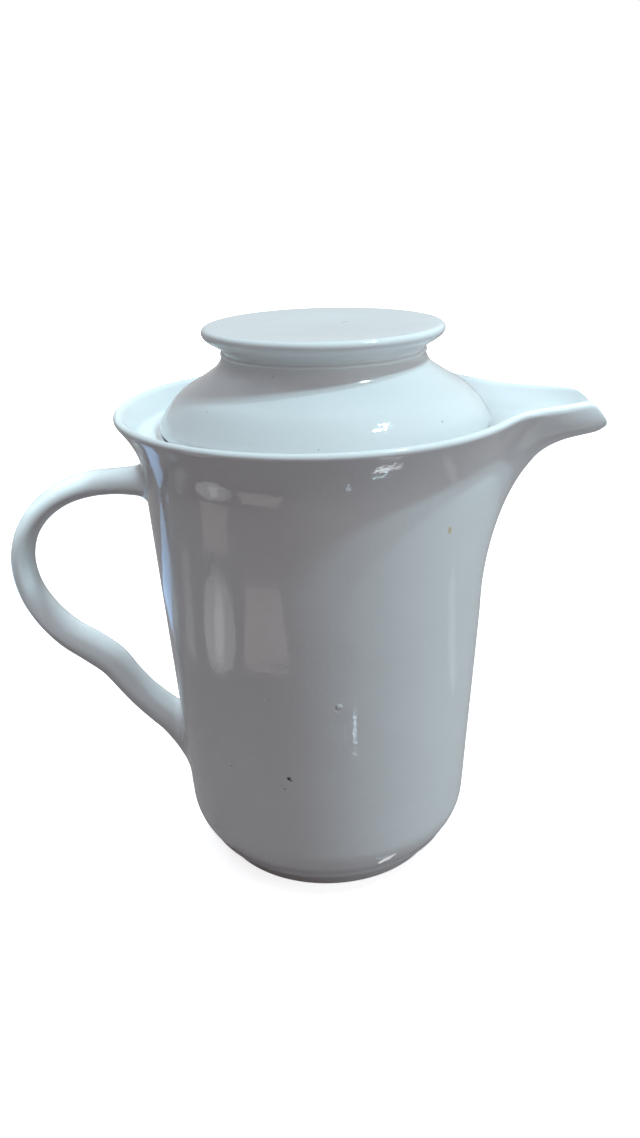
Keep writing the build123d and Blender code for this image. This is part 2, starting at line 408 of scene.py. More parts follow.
def keel_rows():
    """Rows of the wall from the corner up: (plain height, keel reach, keel height, spread)."""
    corner_top = bottom_corner()[0]
    plain_top = RIM_LEVEL - PLAIN_MARGIN * LIP_ROWS[0][0] * MM
    rows = []
    for height in np.linspace(corner_top, plain_top, PLAIN_ROWS):
        rows.append((height, outer_radius(height), height, LIP_ROWS[0][3]))
    for depth, reach, drop, spread in LIP_ROWS:
        rows.append((RIM_LEVEL - depth * MM, reach * MM, RIM_LEVEL - drop * MM, spread))
    return rows


def cut_at_rim(line, turn):
    """The part of a meridian, an array of (radius, height), that lies below the rim's cut."""
    kept = [line[0]]
    for before, here in zip(line, line[1:]):
        over = here[1] - rim_level_at(here[0] * cos(turn))
        if over >= 0:
            under = before[1] - rim_level_at(before[0] * cos(turn))
            kept.append(before + (here - before) * under / (under - over))
            break
        kept.append(here)
    return np.array(kept)


def meridian(turn, inside):
    """The outside or inside of the wall at one angle, from the bottom to the rim's cut."""
    pot = bpy.context.scene.jug_pot
    rows = keel_rows()
    keel = [row[1:3] for row in rows]
    if inside:
        keel = moved_in(keel, pot.wall)
    low = FOOT_TOP + pot.floor if inside else FOOT_TOP
    radius_at = inner_radius if inside else outer_radius
    corner = np.linspace(low, bottom_corner()[0], num=5, endpoint=False)
    line = [(radius_at(height), height) for height in corner]
    for (plain, *_, spread), (reach, height) in zip(rows, keel):
        share = exp(-((abs(degrees(turn)) / spread) ** pot.lip_fade))
        if abs(turn) > pot.lip_span:
            share = 0.0
        radius = radius_at(plain)
        line.append((radius + share * (reach - radius), plain + share * (height - plain)))
    return cut_at_rim(through(line, per_span=12), turn)


def ledge_line(side, turn):
    """The inside of the wall from the rim down, with the lid's ledge where it stands out."""
    pot = bpy.context.scene.jug_pot
    share = min(1.0, max(0.0, (abs(turn) - pot.ledge_gap) / pot.ledge_fade))
    share = share * share * (3 - 2 * share)
    heights = side[:, 1]

    def on_wall(height):
        return np.array([np.interp(height, heights, side[:, 0]), height])

    root = SEAT_LEVEL - pot.ledge - pot.ledge_slope
    margin = 2 * MM
    shelf = np.array(rounded_outline([
        (*on_wall(SEAT_LEVEL + margin), 0),
        (*on_wall(SEAT_LEVEL), pot.ledge_corner),
        (pot.throat_radius, SEAT_LEVEL, pot.ledge_round),
        (pot.throat_radius, SEAT_LEVEL - pot.ledge, pot.ledge_round),
        (*on_wall(root), pot.ledge_corner),
        (*on_wall(root - margin), 0),
    ], count=5))
    top, low = shelf[0, 1], shelf[-1, 1]
    plain = np.array([on_wall(h) for h in np.linspace(top, low, len(shelf))])
    return plain + share * (shelf - plain)


def clear_of(line, edge, end):
    """The points of a line that lie a little farther from its edge than end does."""
    reach = np.linalg.norm(end - edge) + EDGE_GAP
    return line[np.linalg.norm(line - edge, axis=1) > reach]


def pot_line(turn):
    """The pot's whole section at one angle: under the floor, up, over the rim and down inside."""
    pot = bpy.context.scene.jug_pot
    outside = meridian(turn, inside=False)
    inside = meridian(turn, inside=True)[::-1]
    out_edge, in_edge = outside[-1], inside[0]
    top = np.linalg.norm(out_edge - in_edge)
    most = OUTER_SHARE * top
    outer = arc_between(outside[-4], out_edge, in_edge, pot.rim_round, most, OUTER_POINTS)
    most = INNER_SHARE * top
    inner = arc_between(inside[3], in_edge, out_edge, pot.rim_inner_round, most, INNER_POINTS)[::-1]
    outside = np.concatenate([clear_of(outside, out_edge, outer[0]), outer[:1]])
    inside = np.concatenate([inner[-1:], clear_of(inside, in_edge, inner[-1])])
    ledge = ledge_line(inside[::-1], turn)
    above = inside[inside[:, 1] > ledge[0, 1]]
    below = inside[inside[:, 1] < ledge[-1, 1]]
    outside = outside[outside[:, 1] > FOOT_TOP + pot.bead_height]
    bead = [(radius * MM, FOOT_TOP + height * MM) for radius, height in BOTTOM_BEAD]
    bead = through([*bead, outside[0]], per_span=4)[:-1]
    under = np.linspace(LAST_RING, bead[0, 0] - BEAD_GAP, UNDER_POINTS)
    floor = np.linspace(below[-1, 0] * FLOOR_START, LAST_RING, FLOOR_POINTS)
    return np.concatenate([
        [(radius, FOOT_TOP) for radius in under],
        bead,
        evenly(outside, OUTSIDE_POINTS),
        outer[1:],
        inner[:-1],
        evenly(np.concatenate([above, ledge[:1]]), THROAT_POINTS),
        ledge[1:-1],
        evenly(np.concatenate([ledge[-1:], below]), INSIDE_POINTS),
        [(radius, FOOT_TOP + pot.floor) for radius in floor],
    ])


def fresh_start():
    """Leaves nothing selected, so that an operator acts on the new piece alone."""
    bpy.ops.object.select_all(action="DESELECT")


def close_end():
    """Closes the selected open end with faces that meet in its middle."""
    bpy.ops.mesh.extrude_edges_move()
    bpy.ops.mesh.merge(type="CENTER")


def lofted(name, rings):
    """A closed tube drawn ring by ring: a circle is extruded, and each new ring put in its place."""
    fresh_start()
    bpy.ops.mesh.primitive_circle_add(vertices=len(rings[0]), radius=1)
    piece = bpy.context.object
    piece.name = name
    bpy.ops.object.mode_set(mode="EDIT")
    mesh = bmesh.from_edit_mesh(piece.data)
    mesh.verts.ensure_lookup_table()
    for point, place in zip(mesh.verts, rings[0]):
        point.co = place
    last = {point.co.to_tuple(DIGITS): i for i, point in enumerate(mesh.verts)}
    for ring in rings[1:]:
        bpy.ops.mesh.extrude_edges_move()
        mesh = bmesh.from_edit_mesh(piece.data)
        new = [point for point in mesh.verts if point.select]
        order = [last[point.co.to_tuple(DIGITS)] for point in new]
        for point, i in zip(new, order):
            point.co = ring[i]
        last = {point.co.to_tuple(DIGITS): i for point, i in zip(new, order)}
    close_end()
    bpy.ops.mesh.select_all(action="DESELECT")
    bpy.ops.mesh.select_mode(type="EDGE")
    bpy.ops.mesh.select_non_manifold()
    close_end()
    close_piece()
    return piece


def close_piece():
    """Merges doubles, turns the faces outwards and leaves edit mode with smooth shading."""
    bpy.ops.mesh.select_mode(type="VERT")
    bpy.ops.mesh.select_all(action="SELECT")
    bpy.ops.mesh.remove_doubles(threshold=1e-7)
    bpy.ops.mesh.normals_make_consistent(inside=False)
    bpy.ops.object.mode_set(mode="OBJECT")
    bpy.ops.object.shade_smooth()


def spun(name, outline, centre_x, closed):
    """A piece of revolution: its outline of (radius, height) is drawn point by point and spun."""
    fresh_start()
    bpy.ops.mesh.primitive_plane_add(size=MM)
    piece = bpy.context.object
    piece.name = name
    bpy.ops.object.mode_set(mode="EDIT")
    bpy.ops.mesh.merge(type="CENTER")
    radius, height = outline[0]
    bpy.ops.transform.translate(value=(centre_x + radius, 0, height))
    path = list(outline) + ([outline[0]] if closed else [])
    for (r0, z0), (r1, z1) in zip(path, path[1:]):
        step = (r1 - r0, 0, z1 - z0)
        bpy.ops.mesh.extrude_vertices_move(TRANSFORM_OT_translate={"value": step})
    bpy.ops.mesh.select_all(action="SELECT")
    steps = bpy.context.scene.jug_lid.steps
    bpy.ops.mesh.spin(steps=steps, angle=2 * pi, center=(centre_x, 0, 0), axis=(0, 0, 1))
    close_piece()
    bpy.ops.object.shade_smooth_by_angle(angle=SMOOTH_ANGLE)
    return piece


def require_closed(piece):
    """Raises an error if a piece's surface is open or meets itself at an edge."""
    mesh = bmesh.new()
    mesh.from_mesh(piece.data)
    faults = sum(not edge.is_manifold for edge in mesh.edges)
    mesh.free()
    if faults:
        raise RuntimeError(f"{piece.name} has {faults} edges that aren't closed")


def finish_piece(piece, body, node, material):
    """Checks that a piece is closed, gives it its finish and its body, and hides the node that it stands
    for.
    """
    require_closed(piece)
    piece.data.materials.clear()
    piece.data.materials.append(material)
    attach(piece, body)
    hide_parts(node)


def round_angles():
    """Angles round the pot, close together at the lip."""
    lip = radians(24)
    near = np.linspace(-lip, lip, num=120, endpoint=False)
    far = np.linspace(lip, 2 * pi - lip, num=156, endpoint=False)
    return [float((turn + pi) % (2 * pi) - pi) for turn in (*near, *far)]


class JUG_OT_pot(bpy.types.Operator):
    """Throws the pot: its wall, rim, lip, ledge and floor"""

    bl_idname = "jug.pot"
    bl_label = "Pot"

    def execute(self, context):
        turns = round_angles()
        lines = [pot_line(turn) for turn in turns]
        rings = [
            [Vector((radius * cos(turn), radius * sin(turn), z)) for turn, (radius, z) in zip(turns, row)]
            for row in zip(*lines)
        ]
        piece = lofted("pot_wall", rings)
        finish_piece(piece, "pot", "pot_body", glaze_material("pot_glaze"))
        return {"FINISHED"}


def ring_outline(inner, outer, top_outer, low, top, rounding):
    """The section of a ring whose lower edges are rounded, from the middle of its underside."""
    middle = (inner + outer) / 2
    return rounded_outline([
        (middle, low, 0),
        (outer, low, rounding),
        (top_outer, top, 0),
        (inner, top, 0),
        (inner, low, rounding),
        (middle, low, 0),
    ])[:-1]


class JUG_OT_foot(bpy.types.Operator):
    """Spins the bare foot ring"""

    bl_idname = "jug.foot"
    bl_label = "Foot"

    def execute(self, context):
        pot = context.scene.jug_pot
        inner = pot.foot_radius - pot.foot_width
        outline = ring_outline(inner, pot.foot_radius, FOOT_TOP_RADIUS, 0, FOOT_TOP, pot.foot_round)
        piece = spun("foot", outline, 0, closed=True)
        finish_piece(piece, "pot", "foot_ring", clay_material("foot_clay"))
        return {"FINISHED"}


def wall_point(point):
    """The point of the outer wall at the same height and angle as a point."""
    radius = outer_radius(point.z)
    run = hypot(point.x, point.y)
    return Vector((point.x * radius / run, point.y * radius / run, point.z))


def wall_normal(point):
    """The outward direction of the outer wall at a point of it."""
    step = 0.5 * MM
    slope = (outer_radius(point.z + step) - outer_radius(point.z - step)) / (2 * step)
    normal = Vector((point.x, point.y, 0)).normalized()
    normal.z = -slope
    return normal.normalized()


def strap_sections(sides):
    """The handle's strap as rings of points, closely spaced, from the rim's side to the tail."""
    rows = through(np.array(HANDLE_ROWS) * MM, per_span=10)
    rings = []
    for i, (out, height, thickness, width) in enumerate(rows):
        x0, z0 = rows[max(i - 1, 0)][:2]
        x1, z1 = rows[min(i + 1, len(rows) - 1)][:2]
        along = Vector((-(x1 - x0), 0, z1 - z0)).normalized()
        side = Vector((0, 1, 0))
        up = along.cross(side)
        centre = Vector((-out, 0, height))
        rings.append([
            centre
            + side * (width / 2 * cos(2 * pi * k / sides))
            + up * (thickness / 2 * sin(2 * pi * k / sides))
            for k in range(sides)
        ])
    return rings


def outside_wall(point):
    """How far a point lies outside the outer wall."""
    return hypot(point.x, point.y) - outer_radius(point.z)


def joint_rings(lines, fillet, sunk, count=9):
    """Rounds the end of the strap into the wall.

    lines run from the middle of the strap towards the wall. Gives the lines
    cut back, and the rings of the fillet from the strap to inside the wall.
    """
    kept, meets = [], []
    for line in lines:
        i = next(k for k, point in enumerate(line) if outside_wall(point) < 0)
        near, deep = line[i - 1], line[i]
        share = outside_wall(near) / (outside_wall(near) - outside_wall(deep))
        kept.append(line[:i])
        meets.append(near.lerp(deep, share))
    middle = wall_point(sum(meets, Vector()) / len(meets))
    rings = [[] for k in range(count + 1)]
    short = []
    for line, meet in zip(kept, meets):
        normal = wall_normal(meet)
        away = meet - middle
        away = (away - normal * away.dot(normal)).normalized()
        spread = wall_point(meet + away * fillet)
        run, k, here = 0.0, len(line) - 1, meet
        while k > 0 and run + (here - line[k]).length < fillet:
            run += (here - line[k]).length
            here = line[k]
            k -= 1
        start = here + (line[k] - here).normalized() * (fillet - run)
        short.append((k, start))
        for j in range(count):
            t = j / (count - 1)
            rings[j].append(start * (1 - t) ** 2 + meet * 2 * t * (1 - t) + spread * t**2)
        rings[count].append(spread - wall_normal(spread) * sunk)
    return short, rings


class JUG_OT_handle(bpy.types.Operator):
    """Pulls the handle and rounds its ends into the wall"""

    bl_idname = "jug.handle"
    bl_label = "Handle"

    def execute(self, context):
        sizes = context.scene.jug_handle
        rings = strap_sections(sizes.sides)
        half = len(rings) // 2
        tail_lines = [[ring[k] for ring in rings[half:]] for k in range(sizes.sides)]
        top_lines = [[ring[k] for ring in rings[half::-1]] for k in range(sizes.sides)]
        top_short, top = joint_rings(top_lines, sizes.top_fillet, sizes.sunk)
        tail_short, tail = joint_rings(tail_lines, sizes.tail_fillet, sizes.sunk)
        # Each line of the strap is spaced evenly again between its two fillets
        strap = []
        for k in range(sizes.sides):
            first, start = top_short[k]
            last, end = tail_short[k]
            line = [start] + [ring[k] for ring in rings[half - first: half + last + 1]] + [end]
            strap.append(evenly(np.array(line), STRAP_POINTS))
        middle = [[Vector(line[i]) for line in strap] for i in range(1, STRAP_POINTS - 1)]
        piece = lofted("strap_handle", top[::-1] + middle + tail)
        bpy.ops.object.shade_smooth_by_angle(angle=SMOOTH_ANGLE)
        finish_piece(piece, "pot", "handle", glaze_material("handle_glaze"))
        return {"FINISHED"}


class JUG_OT_dome(bpy.types.Operator):
    """Spins the lid's dome, with a bead of glaze round the seam under its knob"""

    bl_idname = "jug.dome"
    bl_label = "Dome"

    def execute(self, context):
        lid = context.scene.jug_lid
        collar_inner = COLLAR_RADIUS - lid.collar_wall
        dome = [(LID_EDGE_RADIUS, SEAT_LEVEL + lid.edge_height)]
        dome += [(radius * MM, SEAT_LEVEL + height * MM) for radius, height in DOME_ROWS]
        dome += [(lid.neck_radius, SEAM_LEVEL)]
        bead = [(lid.neck_radius + out * MM, SEAM_LEVEL - down * MM) for out, down in SEAM_BEAD]
        inner = moved_in(dome, lid.wall)
        hollow = [(min(radius, collar_inner), height) for radius, height in inner[1:-1]]
        hollow.append((lid.neck_radius - lid.wall, SEAM_LEVEL))
        edge = rounded_outline([
            (collar_inner, SEAT_LEVEL, 0),
            (LID_EDGE_RADIUS, SEAT_LEVEL, lid.edge_round),
            (LID_EDGE_RADIUS, SEAT_LEVEL + lid.edge_height, 0),
        ])
        # The dome's last rows give way to the bead
        outline = [*edge[:-1], *through(dome, per_span=8)[:-3], *bead, *through(hollow[::-1], per_span=6)]
        piece = spun("dome", outline, LID_X, closed=True)
        finish_piece(piece, "lid", "lid_dome", glaze_material("lid_glaze"))
        return {"FINISHED"}


class JUG_OT_collar(bpy.types.Operator):
    """Spins the collar that hangs from the lid into the throat"""

    bl_idname = "jug.collar"
    bl_label = "Collar"

    def execute(self, context):
        lid = context.scene.jug_lid
        inner = COLLAR_RADIUS - lid.collar_wall
        outer = COLLAR_RADIUS
        outline = ring_outline(inner, outer, outer, COLLAR_BOTTOM, SEAT_LEVEL, lid.collar_round)
        piece = spun("collar", outline, LID_X, closed=True)
        finish_piece(piece, "lid", "lid_flange", glaze_material("collar_glaze"))
        return {"FINISHED"}


class JUG_OT_knob(bpy.types.Operator):
    """Spins the lid's knob: a dished disc on a short hollow neck"""

    bl_idname = "jug.knob"
    bl_label = "Knob"

    def execute(self, context):
        lid = context.scene.jug_lid
        disc = [(KNOB_RADIUS - inset * MM, LID_TOP - below * MM) for inset, below in DISC_EDGE_ROWS]
        neck = [(radius * MM, LID_TOP - below * MM) for radius, below in NECK_ROWS]
        neck.append((lid.neck_radius, SEAM_LEVEL))
        dished = []
        for share in np.linspace(0, 1, num=24, endpoint=False):
            sunk = lid.dish * (1 - share * share * (3 - 2 * share))
            dished.append((disc[0][0] * share, LID_TOP - sunk))
        hollow = lid.neck_radius - lid.wall
        inside = [(hollow, SEAM_LEVEL), (hollow, LID_TOP - lid.plate), (0, LID_TOP - lid.plate)]
        outline = [*dished, *through([dished[-1], *disc, *neck], per_span=6)[1:], *inside]
        outline = [(radius, min(height, LID_TOP)) for radius, height in outline]
        piece = spun("disc_knob", outline, LID_X, closed=False)
        finish_piece(piece, "lid", "lid_knob", glaze_material("knob_glaze"))
        return {"FINISHED"}


def new_group(name, inputs, outputs):
    """A node group with its sockets: gives the group and the nodes at its two ends."""
    group = bpy.data.node_groups.new(name, "ShaderNodeTree")
    for label, kind, default in inputs:
        socket = group.interface.new_socket(name=label, in_out="INPUT", socket_type="NodeSocket" + kind)
        if default is not None:
            socket.default_value = default
    for label, kind in outputs:
        group.interface.new_socket(name=label, in_out="OUTPUT", socket_type="NodeSocket" + kind)
    start = group.nodes.new("NodeGroupInput")
    end = group.nodes.new("NodeGroupOutput")
    return group, start, end


def feed(tree, node, **inputs):
    """Fills a node's inputs with values, or links them to sockets.

    Each is named as its socket, spaces as underscores, or by i and its number.
    """
    for key, value in inputs.items():
        numbered = key[0] == "i" and key[1:].isdigit()
        socket = node.inputs[int(key[1:]) if numbered else key.replace("_", " ")]
        if isinstance(value, bpy.types.NodeSocket):
            tree.links.new(value, socket)
        else:
            socket.default_value = value


def add(tree, kind, settings=None, **inputs):
    """A new node with its settings and inputs."""
    node = tree.nodes.new("ShaderNode" + kind)
    for key, value in (settings or {}).items():
        setattr(node, key, value)
    feed(tree, node, **inputs)
    return node


def calc(tree, operation, first, second):
    """What a math node makes of two numbers."""
    return add(tree, "Math", {"operation": operation}, i0=first, i1=second).outputs[0]


def vector_calc(tree, operation, first, second):
    """What a vector math node makes of two vectors."""
    return add(tree, "VectorMath", {"operation": operation}, i0=first, i1=second).outputs["Vector"]


def vector_length(tree, vector):
    """The length of a vector."""
    return add(tree, "VectorMath", {"operation": "LENGTH"}, i0=vector).outputs["Value"]


def blend(tree, share, first, second):
    """A colour between two colours."""
    ends = []
    for end in (first, second):
        ends.append(end if isinstance(end, bpy.types.NodeSocket) else (*end, 1))
    return add(tree, "Mix", {"data_type": "RGBA"}, Factor=share, i6=ends[0], i7=ends[1]).outputs[2]


def noise(tree, place, scale, detail=2.0, roughness=0.5):
    """A noise's value at a place, scale given per metre."""
    node = add(tree, "TexNoise", Vector=place, Scale=scale, Detail=detail, Roughness=roughness)
    return node.outputs[0]


def spread_out(tree, value, low, high, new_low=0.0, new_high=1.0):
    """A value from one range spread smoothly over another."""
    node = add(
        tree, "MapRange", {"interpolation_type": "SMOOTHSTEP"},
        Value=value, i1=low, i2=high, i3=new_low, i4=new_high,
    )
    return node.outputs[0]


# Throwing rings: their share beside the glaze's broad swell
RING_SHARE = 0.22

# Pinholes: smallest size and how much larger they get, as shares of their
# distance apart, then the share of their dark colour and their depth
PINHOLE_SMALLEST = 0.012
PINHOLE_RANGE = 0.03
PINHOLE_DARK = 0.35
PINHOLE_DEPTH = 0.15

# Soft clouds and fine speckle in the glaze's colour, and roughness where it is smeared
CLOUD_SHARE = 0.07
SPECKLE_SHARE = 0.03
SMEAR_ROUGHNESS = 0.05


def ripple_group():
    """Soft unevenness of thrown and glazed clay, as a height."""
    group, start, end = new_group(
        "glaze_ripple",
        [("Vector", "Vector", None), ("Swell", "Float", 0.6), ("Peel", "Float", 0.08)],
        [("Height", "Float")],
    )
    place = start.outputs["Vector"]
    swell = noise(group, place, scale=38.0, detail=1.5)
    # Throwing rings: noise that is drawn out flat
    flat = vector_calc(group, "MULTIPLY", place, (14.0, 14.0, 170.0))
    ring = noise(group, flat, scale=1.0, detail=1.0)
    peel = noise(group, place, scale=700.0)
    both = calc(group, "ADD", swell, calc(group, "MULTIPLY", ring, RING_SHARE))
    low = calc(group, "MULTIPLY", both, start.outputs["Swell"])
    fine = calc(group, "MULTIPLY", peel, start.outputs["Peel"])
    feed(group, end, Height=calc(group, "ADD", low, fine))
    return group


def faults_group():
    """Pinholes in the glaze: few, small, scattered."""
    group, start, end = new_group(
        "glaze_faults",
        [("Vector", "Vector", None), ("Scale", "Float", 90.0), ("Few", "Float", 0.93)],
        [("Mask", "Float")],
    )
    place, scale = start.outputs["Vector"], start.outputs["Scale"]
    cells = add(group, "TexVoronoi", {"feature": "F1"}, Vector=place, Scale=scale)
    # Each cell's colour picks the cells that have a pinhole, and its size
    pick = add(group, "SeparateColor", Color=cells.outputs["Color"])
    chosen = calc(group, "GREATER_THAN", pick.outputs[0], start.outputs["Few"])
    size = calc(group, "MULTIPLY", pick.outputs[1], PINHOLE_RANGE)
    size = calc(group, "ADD", size, PINHOLE_SMALLEST)
    near = calc(group, "DIVIDE", cells.outputs["Distance"], size)
    dot = spread_out(group, near, 0.6, 1.3, 1.0, 0.0)
    feed(group, end, Mask=calc(group, "MULTIPLY", dot, chosen))
    return group


def spot_group():
    """One spot at a named place: 1 at its middle, 0 outside it; Stretch draws it out upright."""
    group, start, end = new_group(
        "spot",
        [
            ("Vector", "Vector", None),
            ("Place", "Vector", (0.0, 0.0, 0.0)),
            ("Radius", "Float", 0.001),
            ("Stretch", "Float", 1.0),
            ("Ragged", "Float", 0.3),
        ],
        [("Mask", "Float")],
    )
    place = start.outputs["Vector"]
    away = vector_calc(group, "SUBTRACT", place, start.outputs["Place"])
    x, y, z = add(group, "SeparateXYZ", Vector=away).outputs
    drawn = add(group, "CombineXYZ", X=x, Y=y, Z=calc(group, "DIVIDE", z, start.outputs["Stretch"]))
    reach = vector_length(group, drawn.outputs[0])
    rough = calc(group, "SUBTRACT", noise(group, place, scale=1500.0, detail=1.0), 0.5)
    rough = calc(group, "MULTIPLY", rough, start.outputs["Ragged"])
    share = calc(group, "ADD", calc(group, "DIVIDE", reach, start.outputs["Radius"]), rough)
    feed(group, end, Mask=spread_out(group, share, 0.35, 1.0, 1.0, 0.0))
    return group


def tone_group():
    """Colour and roughness of the glaze: soft clouds, and a whiter colour above one height: thin glaze
    over an edge, and on the lid a painted highlight along the seam bead.
    """
    group, start, end = new_group(
        "glaze_tone",
        [
            ("Vector", "Vector", None),
            ("Glaze", "Color", (0.8, 0.8, 0.8, 1.0)),
            ("Thin", "Color", (0.9, 0.9, 0.9, 1.0)),
            ("Edge low", "Float", 1.0),
            ("Edge high", "Float", 2.0),
            ("Roughness", "Float", 0.06),
        ],
        [("Color", "Color"), ("Roughness", "Float")],
    )
    place = start.outputs["Vector"]
    cloud = noise(group, place, scale=22.0, detail=3.0, roughness=0.6)
    cloud = calc(group, "MULTIPLY", cloud, CLOUD_SHARE)
    speckle = noise(group, place, scale=420.0, roughness=0.7)
    speckle = calc(group, "MULTIPLY", speckle, SPECKLE_SHARE)
    # Half of both shares on top keeps the glaze's colour on average
    middle = 1 + (CLOUD_SHARE + SPECKLE_SHARE) / 2
    tone = calc(group, "SUBTRACT", middle, calc(group, "ADD", cloud, speckle))
    shade = add(group, "VectorMath", {"operation": "SCALE"}, i0=start.outputs["Glaze"], Scale=tone)
    height = add(group, "SeparateXYZ", Vector=place).outputs[2]
    edge = spread_out(group, height, start.outputs["Edge low"], start.outputs["Edge high"])
    smear = noise(group, place, scale=55.0, detail=3.0, roughness=0.65)
    smear = spread_out(group, smear, 0.5, 0.75, 0.0, SMEAR_ROUGHNESS)
    feed(
        group, end,
        Color=blend(group, edge, shade.outputs[0], start.outputs["Thin"]),
        Roughness=calc(group, "ADD", start.outputs["Roughness"], smear),
    )
    return group


# Effects that materials share, each built as a node group on its first use
SHARED = {
    "glaze_ripple": ripple_group,
    "glaze_faults": faults_group,
    "spot": spot_group,
    "glaze_tone": tone_group,
}


def shared_node(tree, name, **inputs):
    """The node of a shared effect, with its inputs."""
    group = bpy.data.node_groups.get(name) or SHARED[name]()
    return add(tree, "Group", {"node_tree": group}, **inputs)


# Marks of each glazed piece: place and radius in millimetres, how far it is drawn out upright, its
# colour, the share of that colour, and its height. Some of the whiter marks are painted highlights.
MARKS = {
    "pot_glaze": [
        # A raised pimple and a smaller one, whitened: painted highlights on the bumps
        ((4.4, -58.1, 84.3), 1.35, 1.0, "thin", 0.75, 1.0),
        ((3.4, -58.1, 82.0), 0.8, 1.0, "thin", 0.3, 0.1),
        # A whiter streak drawn out below the pimple, with no height: a painted reflection
        ((6.2, -57.2, 73.0), 1.0, 5.5, "thin", 0.25, 0.0),
        ((-13.4, -54.7, 54.6), 1.05, 1.0, "iron", 0.95, -0.25),
        ((-12.7, -54.9, 53.9), 0.6, 1.0, "iron", 0.8, -0.15),
        ((-15.0, -54.0, 50.0), 0.8, 1.0, "iron", 0.25, -0.1),
        ((-16.0, -53.7, 51.4), 0.5, 1.0, "iron", 0.25, 0.0),
        ((41.5, -45.9, 141.1), 1.2, 1.5, "rust", 0.75, 0.1),
        ((28.0, -51.0, 99.0), 1.0, 0.7, "thin", 0.2, 0.3),
        ((20.0, -52.5, 66.0), 0.8, 0.6, "thin", 0.15, 0.3),
        ((-20.5, -54.5, 86.0), 0.6, 1.0, "thin", 0.3, 0.25),
    ],
    "lid_glaze": [
        ((39.0, -39.6, 175.0), 0.55, 1.0, "iron", 0.6, -0.1),
        # Two tiny whiter dots above the seam bead: painted highlights
        ((8.5, -35.5, 189.2), 0.5, 1.0, "thin", 0.9, 0.1),
        ((17.1, -33.6, 188.3), 0.5, 1.0, "thin", 0.9, 0.1),
        ((-35.4, -33.1, 178.5), 0.7, 1.0, "iron", 0.15, -0.2),
        ((-13.8, -32.1, 189.2), 0.7, 1.0, "iron", 0.15, 0.2),
        ((27.0, -30.5, 185.0), 0.45, 1.0, "iron", 0.3, -0.1),
    ],
    "knob_glaze": [
        # A whiter dot on the disc's edge and a whiter patch on a low bump on its top: painted highlights
        ((6.5, -41.3, 197.6), 0.5, 1.0, "thin", 0.9, 0.3),
        ((11.0, 4.0, 200.3), 1.7, 1.0, "thin", 1.0, 0.8),
    ],
    "handle_glaze": [
        # Whiter patches on low bumps at the tail's fillet: painted highlights
        ((-66.0, -5.0, 56.0), 2.2, 1.0, "thin", 0.6, 0.2),
        ((-58.0, -7.0, 49.0), 1.2, 1.0, "thin", 0.4, 0.2),
    ],
}

# Heights between which the glaze turns to its whiter colour over an upper edge: thin glaze at the rim and
# the knob's disc, and on the lid a painted highlight, a bright line along the bead under the knob. The
# collar's and the handle's lie above these pieces, which have no such edge.
THIN_EDGES = {
    "pot_glaze": (RIM_LEVEL - 1.6 * MM, RIM_LEVEL - 0.3 * MM),
    # Painted highlight: a whiter line along the seam bead under the knob
    "lid_glaze": (SEAM_LEVEL - 1.1 * MM, SEAM_LEVEL - 0.9 * MM),
    "collar_glaze": (SEAT_LEVEL + 5 * MM, SEAT_LEVEL + 6 * MM),
    "knob_glaze": (LID_TOP - 1.6 * MM, LID_TOP - 0.4 * MM),
    "handle_glaze": (LID_TOP + 99 * MM, LID_TOP + 100 * MM),
}


def new_material(name):
    """A material with its node tree, its shader and the place on the piece."""
    material = bpy.data.materials.new(name)
    material.use_nodes = True
    tree = material.node_tree
    return material, tree, tree.nodes["Principled BSDF"], add(tree, "TexCoord").outputs["Object"]


def glaze_material(name):
    """The glossy white glaze of one piece, with its own marks."""
    colours = bpy.context.scene.jug_colours
    material, tree, shader, place = new_material(name)
    low, high = THIN_EDGES[name]
    tone = shared_node(
        tree, "glaze_tone",
        Vector=place, Glaze=(*colours.glaze, 1), Thin=(*colours.thin, 1),
        Edge_low=low, Edge_high=high, Roughness=colours.gloss,
    )
    ripple = shared_node(tree, "glaze_ripple", Vector=place).outputs["Height"]
    pinholes = shared_node(tree, "glaze_faults", Vector=place).outputs["Mask"]
    dark = calc(tree, "MULTIPLY", pinholes, PINHOLE_DARK)
    paint = blend(tree, dark, tone.outputs["Color"], colours.iron)
    height = calc(tree, "SUBTRACT", ripple, calc(tree, "MULTIPLY", pinholes, PINHOLE_DEPTH))
    for spot, radius, stretch, colour_name, share, rise in MARKS.get(name, []):
        mask = shared_node(
            tree, "spot", Vector=place, Place=Vector(spot) * MM, Radius=radius * MM, Stretch=stretch
        ).outputs["Mask"]
        paint = blend(tree, calc(tree, "MULTIPLY", mask, share), paint, getattr(colours, colour_name))
        height = calc(tree, "ADD", height, calc(tree, "MULTIPLY", mask, rise))
    bump = add(tree, "Bump", Strength=0.8, Distance=0.6 * MM, Height=height)
    roughness = tone.outputs["Roughness"]
    feed(tree, shader, Base_Color=paint, Roughness=roughness, Normal=bump.outputs[0], IOR=1.5)
    return material


